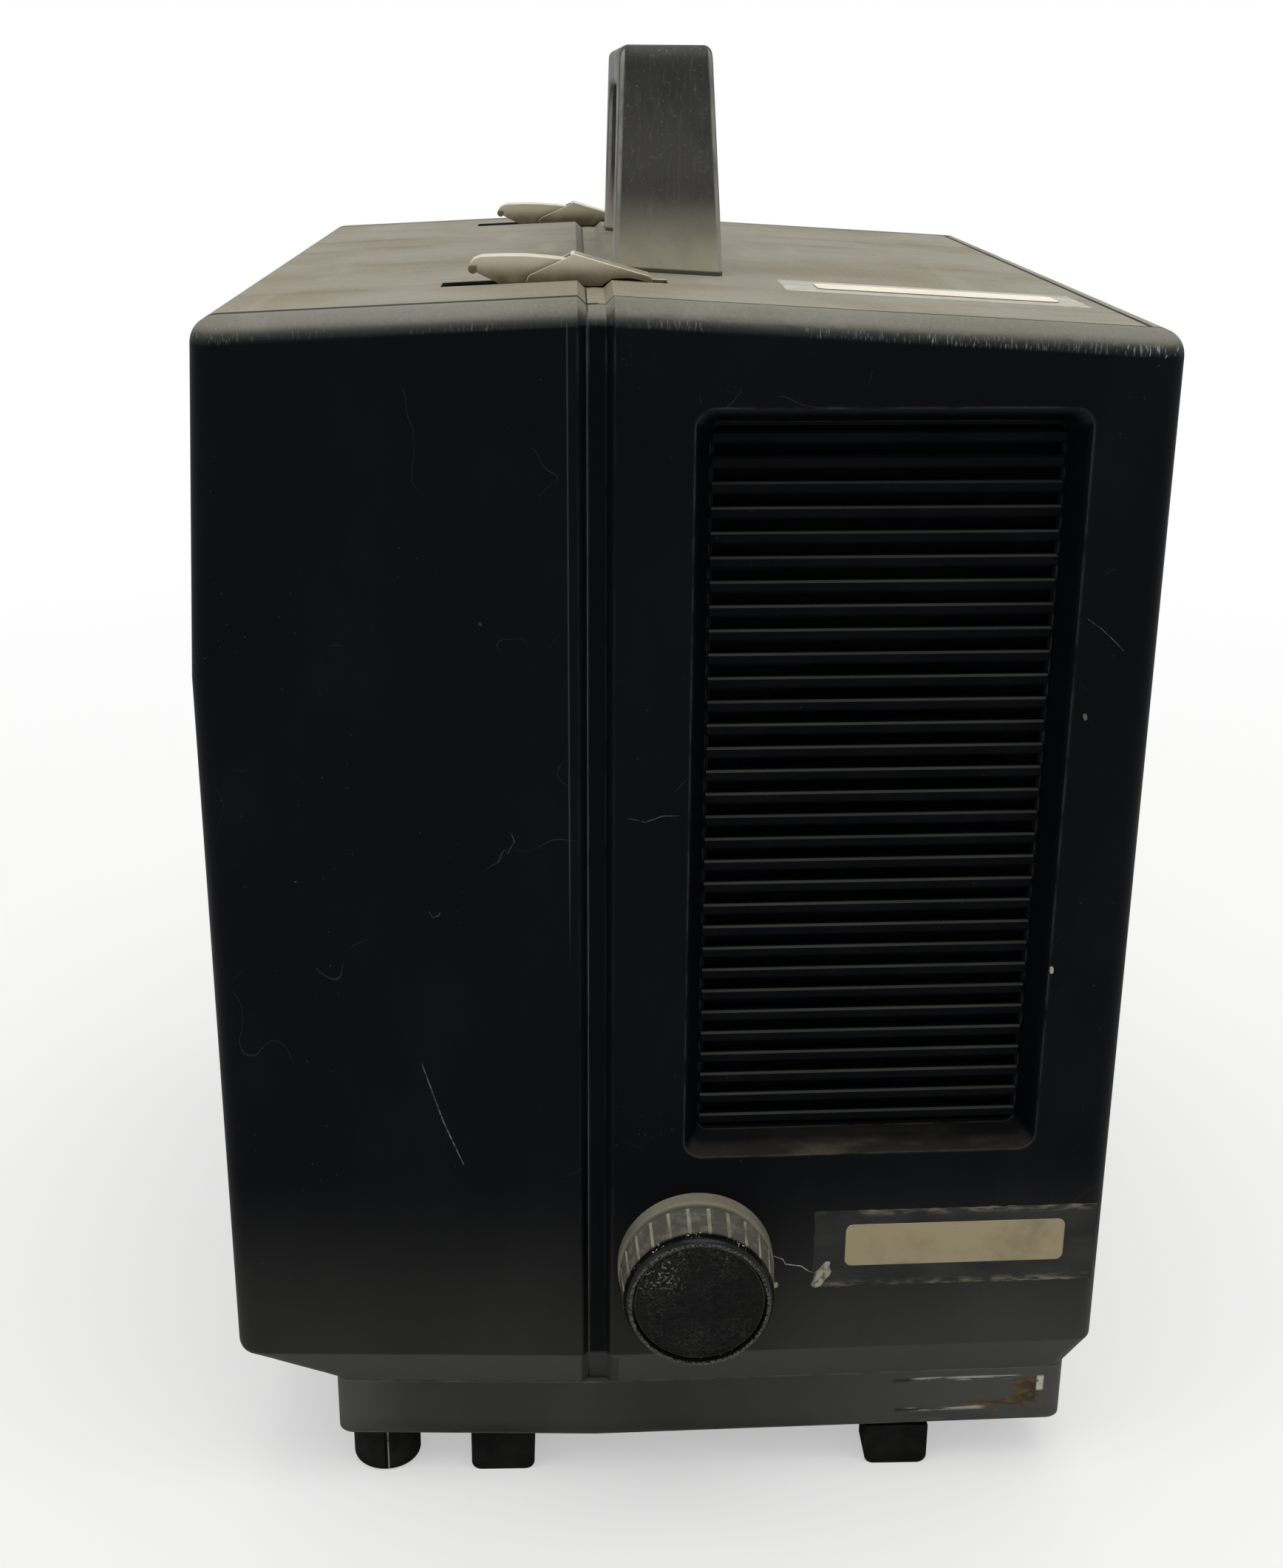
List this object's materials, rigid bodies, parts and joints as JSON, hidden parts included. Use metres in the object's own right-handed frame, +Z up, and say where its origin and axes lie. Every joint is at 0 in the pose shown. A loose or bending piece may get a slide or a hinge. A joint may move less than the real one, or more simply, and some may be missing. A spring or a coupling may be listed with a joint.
{
  "type": "movie projector",
  "caption": "Closed sound film projector case with carry handle, draw-latched side cover, slatted speaker grille, fluted tilt knob and the film mechanism inside.",
  "frame": {"origin": "on the floor under the middle of the closed object's box", "axes": "+Z up, front (speaker and knob end) towards -Y, removable cover (operator's side) towards -X"},
  "size_m": [0.3, 0.4034, 0.484],
  "materials": {
    "case_black": "fine-grained satin charcoal plastic, scuffed",
    "panel_grey": "worn satin dark grey paint under dust",
    "plinth_grey": "worn dark grey paint",
    "grille_black": "matt black slats with rubbed edges",
    "handle_grey": "satin moulded plastic",
    "latch_nickel": "satin nickel plate",
    "knob_black": "gloss moulded plastic",
    "cap_black": "pebbled black",
    "collar_grey": "dusty grey plastic",
    "foot_rubber": "matt rubber",
    "black_steel": "black painted steel",
    "zinc_steel": "plain turned steel",
    "bearing_bronze": "sintered bronze",
    "cast_alloy": "painted light alloy casting",
    "lamp_sheet": "heat-proof dark grey paint",
    "lamp_glass": "clear glass",
    "lens_black": "black anodised",
    "fan_plastic": "moulded plastic",
    "belt_rubber": "moulded rubber",
    "speaker_steel": "plain painted steel",
    "cone_paper": "black pressed paper",
    "board_green": "circuit board",
    "transformer_iron": "varnished laminations",
    "inlet_black": "moulded black",
    "label_paper": "aged cream paper tape, blank"
  },
  "bodies": {
    "root": {"base_plinth": "plinth_grey", "front_housing": "case_black", "rear_housing": "case_black", "top_panel": "panel_grey", "side_panel": "panel_grey", "mechanism_plate": "cast_alloy", "speaker_grille": "grille_black", "carry_handle": "handle_grey", "fixing_screws": "zinc_steel", "latch_keepers": "latch_nickel", "knob_collar": "collar_grey", "rubber_feet": "foot_rubber", "power_inlet": "inlet_black", "blank_labels": "label_paper", "shaft_bushing": "bearing_bronze", "rack_guide": "black_steel", "speaker_frame": "speaker_steel", "speaker_cone": "cone_paper", "speaker_magnet": "speaker_steel", "motor_housing": "cast_alloy", "fan_housing": "cast_alloy", "drive_belt": "belt_rubber", "timing_belt": "belt_rubber", "lamp_house": "lamp_sheet", "projection_lamp": "lamp_glass", "film_gate": "cast_alloy", "lens_holder": "cast_alloy", "sound_head": "cast_alloy", "reel_arms": "cast_alloy", "amplifier_board": "board_green", "power_transformer": "transformer_iron", "control_panel": "lamp_sheet"},
    "cover": {"cover_front": "case_black", "cover_skin": "panel_grey", "cover_rear": "case_black", "latch_brackets": "latch_nickel"},
    "front_lever": {"front_latch_lever": "latch_nickel"},
    "front_hook": {"front_latch_hook": "latch_nickel"},
    "rear_lever": {"rear_latch_lever": "latch_nickel"},
    "rear_hook": {"rear_latch_hook": "latch_nickel"},
    "tilt_control": {"tilt_knob": "knob_black", "knob_cap": "cap_black", "tilt_shaft": "zinc_steel", "tilt_pinion": "zinc_steel"},
    "tilt_foot": {"tilt_rack": "black_steel", "tilt_bar": "black_steel", "tilt_pads": "foot_rubber"},
    "motor_drive": {"motor_rotor": "zinc_steel", "cooling_fan": "fan_plastic"},
    "shutter_drive": {"main_shaft": "zinc_steel", "barrel_shutter": "lamp_sheet"},
    "upper_film_drive": {"upper_sprocket": "zinc_steel"},
    "lower_film_drive": {"lower_sprocket": "zinc_steel"},
    "sound_drive": {"sound_drum": "zinc_steel", "flywheel": "zinc_steel"},
    "lens": {"lens_barrel": "lens_black"},
    "volume_control": {"volume_knob": "knob_black"},
    "tone_control": {"tone_knob": "knob_black"},
    "mains_switch": {"power_switch": "knob_black"},
    "run_control": {"run_lever": "knob_black"}
  },
  "joints": [
    {"name": "cover_lift_off", "type": "slide", "parent": "root", "child": "cover", "axis": [-1, 0, 0], "range_m": [0, 0.15]},
    {"name": "front_lever_swing", "type": "hinge", "parent": "cover", "child": "front_lever", "pos_m": [-0.026, -0.10831, 0.4145], "axis": [0, 1, 0], "range_deg": [0, 90]},
    {"name": "front_hook_swing", "type": "hinge", "parent": "front_lever", "child": "front_hook", "pos_m": [-0.0438, -0.10831, 0.413], "axis": [0, 1, 0], "range_deg": [-90, 0]},
    {"name": "rear_lever_swing", "type": "hinge", "parent": "cover", "child": "rear_lever", "pos_m": [-0.026, 0.15369, 0.4145], "axis": [0, 1, 0], "range_deg": [0, 90]},
    {"name": "rear_hook_swing", "type": "hinge", "parent": "rear_lever", "child": "rear_hook", "pos_m": [-0.0438, 0.15369, 0.413], "axis": [0, 1, 0], "range_deg": [-90, 0]},
    {"name": "tilt_knob_turn", "type": "hinge", "parent": "root", "child": "tilt_control", "pos_m": [0.0084, -0.17519, 0.0936], "axis": [0, 1, 0], "range_deg": [0, 149]},
    {"name": "tilt_foot_slide", "type": "slide", "parent": "root", "child": "tilt_foot", "axis": [0, 0, -1], "range_m": [0, 0.026]},
    {"name": "motor_spin", "type": "hinge", "parent": "root", "child": "motor_drive", "pos_m": [0.016, 0.05969, 0.11], "axis": [1, 0, 0], "continuous": true},
    {"name": "shutter_spin", "type": "hinge", "parent": "root", "child": "shutter_drive", "pos_m": [-0.075, -0.01381, 0.262], "axis": [1, 0, 0], "continuous": true},
    {"name": "upper_sprocket_spin", "type": "hinge", "parent": "root", "child": "upper_film_drive", "pos_m": [-0.075, -0.04531, 0.335], "axis": [1, 0, 0], "continuous": true},
    {"name": "lower_sprocket_spin", "type": "hinge", "parent": "root", "child": "lower_film_drive", "pos_m": [-0.075, -0.04531, 0.189], "axis": [1, 0, 0], "continuous": true},
    {"name": "sound_drum_spin", "type": "hinge", "parent": "root", "child": "sound_drive", "pos_m": [-0.075, -0.10031, 0.15], "axis": [1, 0, 0], "continuous": true},
    {"name": "lens_focus", "type": "slide", "parent": "root", "child": "lens", "axis": [0, -1, 0], "range_m": [-0.005, 0.005]},
    {"name": "volume_turn", "type": "hinge", "parent": "root", "child": "volume_control", "pos_m": [-0.054, -0.00581, 0.085], "axis": [-1, 0, 0], "range_deg": [0, 300]},
    {"name": "tone_turn", "type": "hinge", "parent": "root", "child": "tone_control", "pos_m": [-0.054, 0.03219, 0.085], "axis": [-1, 0, 0], "range_deg": [0, 300]},
    {"name": "power_switch_rock", "type": "hinge", "parent": "root", "child": "mains_switch", "pos_m": [-0.044, 0.07619, 0.085], "axis": [0, 1, 0], "range_deg": [0, 16]},
    {"name": "run_lever_turn", "type": "hinge", "parent": "root", "child": "run_control", "pos_m": [-0.036, 0.06019, 0.1615], "axis": [-1, 0, 0], "range_deg": [0, 90]}
  ],
  "couplings": [
    {"joint": "front_hook_swing", "follows": "front_lever_swing", "ratio": -1},
    {"joint": "rear_hook_swing", "follows": "rear_lever_swing", "ratio": -1},
    {"joint": "tilt_knob_turn", "follows": "tilt_foot_slide", "rad_per_m": 100},
    {"joint": "shutter_spin", "follows": "motor_spin", "ratio": 0.5},
    {"joint": "upper_sprocket_spin", "follows": "motor_spin", "ratio": 0.11667},
    {"joint": "lower_sprocket_spin", "follows": "motor_spin", "ratio": 0.11667}
  ]
}
